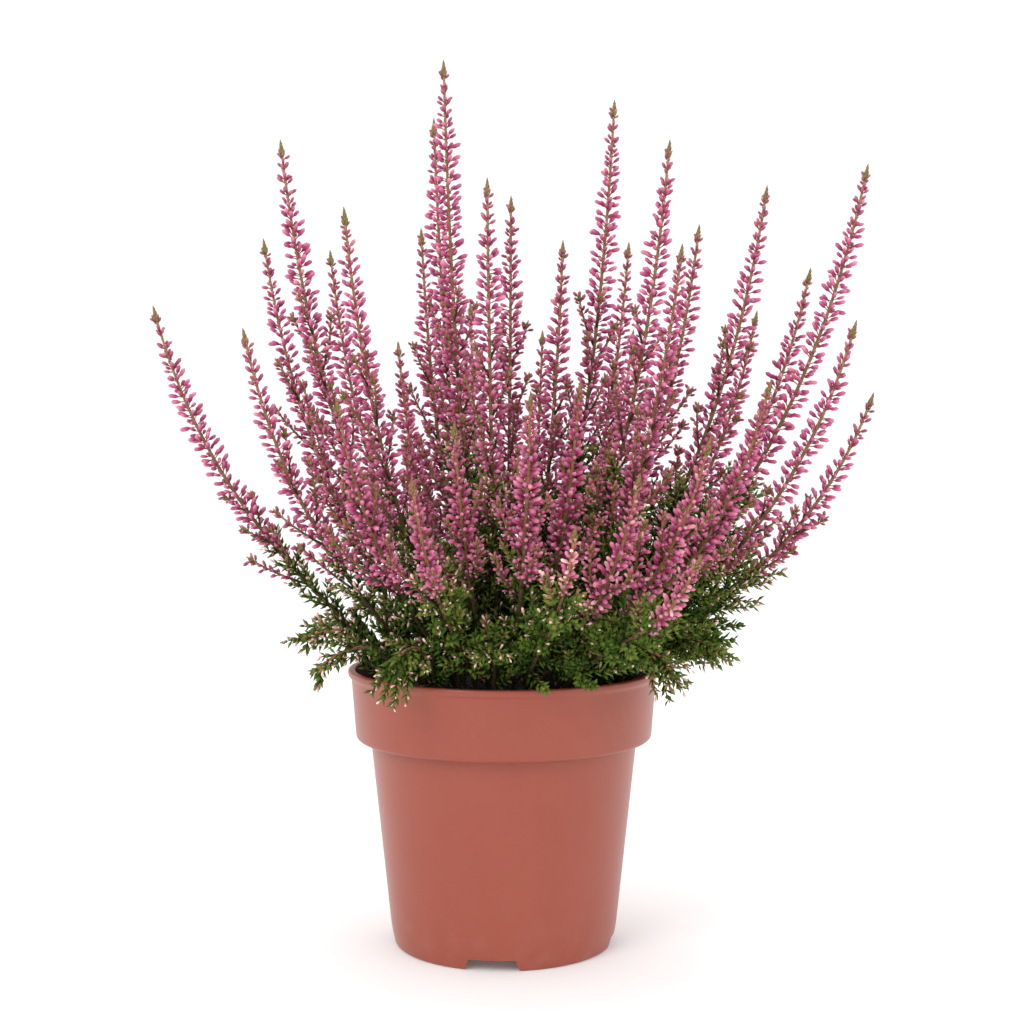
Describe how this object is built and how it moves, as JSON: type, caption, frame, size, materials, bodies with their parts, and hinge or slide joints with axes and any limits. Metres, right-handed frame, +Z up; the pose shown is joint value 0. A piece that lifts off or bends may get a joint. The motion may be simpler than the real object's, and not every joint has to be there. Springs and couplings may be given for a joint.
{
  "type": "potted heather",
  "caption": "Upright heather plant with pink budded flower spires and leafy green shoots, growing in a tapered round plastic nursery pot filled with soil.",
  "frame": {"origin": "middle of the pot's foot, on the pot's axis, on the surface that it stands on", "axes": "+Z up along the pot's axis, -Y towards the front of the plant as pictured, +X to its right"},
  "size_m": [0.2783, 0.2532, 0.34],
  "materials": {
    "pot": "smooth terracotta-coloured moulded plastic with a satin sheen",
    "soil": null,
    "flower_spire": "thin woody heather stem set with magenta-pink buds, green leaves below",
    "leafy_shoot": "thin woody heather stem set with small green leaves"
  },
  "bodies": {
    "root": {"pot": "pot", "soil": "soil", "spire_01": "flower_spire", "spire_02": "flower_spire", "spire_03": "flower_spire", "spire_04": "flower_spire", "spire_05": "flower_spire", "spire_06": "flower_spire", "spire_07": "flower_spire", "spire_08": "flower_spire", "spire_09": "flower_spire", "spire_10": "flower_spire", "spire_11": "flower_spire", "spire_12": "flower_spire", "spire_13": "flower_spire", "spire_14": "flower_spire", "spire_15": "flower_spire", "spire_16": "flower_spire", "spire_17": "flower_spire", "spire_18": "flower_spire", "spire_19": "flower_spire", "spire_20": "flower_spire", "spire_21": "flower_spire", "spire_22": "flower_spire", "spire_23": "flower_spire", "spire_24": "flower_spire", "spire_25": "flower_spire", "spire_26": "flower_spire", "spire_27": "flower_spire", "spire_28": "flower_spire", "spire_29": "flower_spire", "spire_30": "flower_spire", "spire_31": "flower_spire", "spire_32": "flower_spire", "spire_33": "flower_spire", "spire_34": "flower_spire", "spire_35": "flower_spire", "spire_36": "flower_spire", "spire_37": "flower_spire", "spire_38": "flower_spire", "shoot_01": "leafy_shoot", "shoot_02": "leafy_shoot", "shoot_03": "leafy_shoot", "shoot_04": "leafy_shoot", "shoot_05": "leafy_shoot", "shoot_06": "leafy_shoot", "shoot_07": "leafy_shoot", "shoot_08": "leafy_shoot", "shoot_09": "leafy_shoot", "shoot_10": "leafy_shoot", "shoot_11": "leafy_shoot", "shoot_12": "leafy_shoot", "shoot_13": "leafy_shoot", "shoot_14": "leafy_shoot", "shoot_15": "leafy_shoot", "shoot_16": "leafy_shoot", "shoot_17": "leafy_shoot", "shoot_18": "leafy_shoot"}
  },
  "joints": []
}
